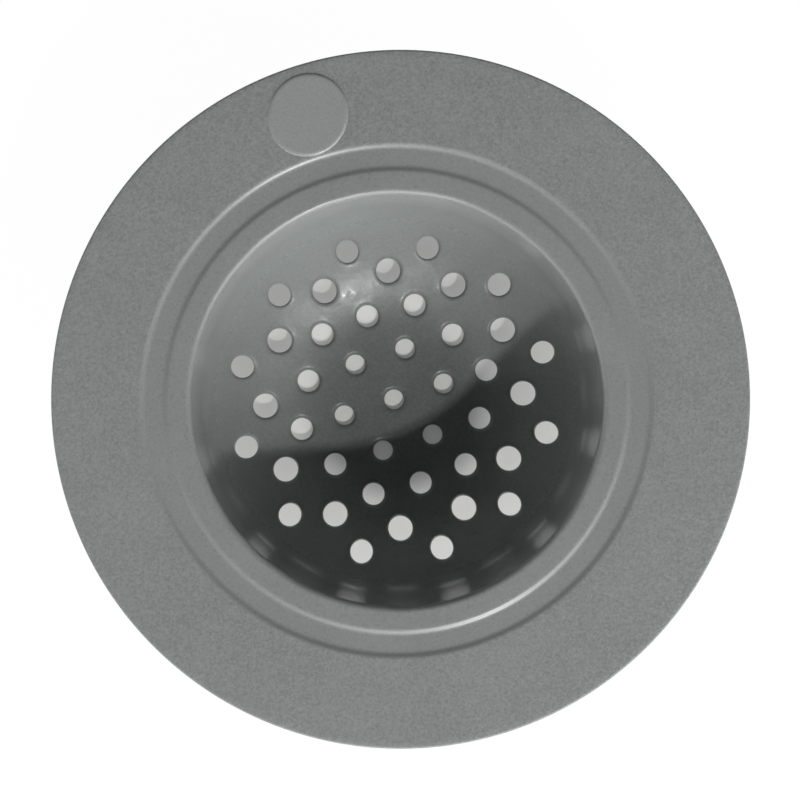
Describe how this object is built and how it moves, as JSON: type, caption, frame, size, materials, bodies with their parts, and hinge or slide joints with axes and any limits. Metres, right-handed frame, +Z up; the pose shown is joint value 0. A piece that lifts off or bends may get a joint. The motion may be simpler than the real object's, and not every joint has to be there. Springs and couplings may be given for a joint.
{
  "type": "sink strainer",
  "caption": "Round kitchen sink strainer: a wide soft flange ring with a raised round badge and a ring channel, gripping a perforated bowl.",
  "frame": {"origin": "centre of the flat foot under the bowl", "axes": "+Z up along the drain's axis, +Y towards the badge on the flange"},
  "size_m": [0.115, 0.115, 0.0347],
  "materials": {
    "soft_rim": "fine matte grain",
    "bowl_shell": "smooth and glossy"
  },
  "bodies": {
    "root": {"rim_flange": "soft_rim", "strainer_bowl": "bowl_shell"}
  },
  "joints": []
}
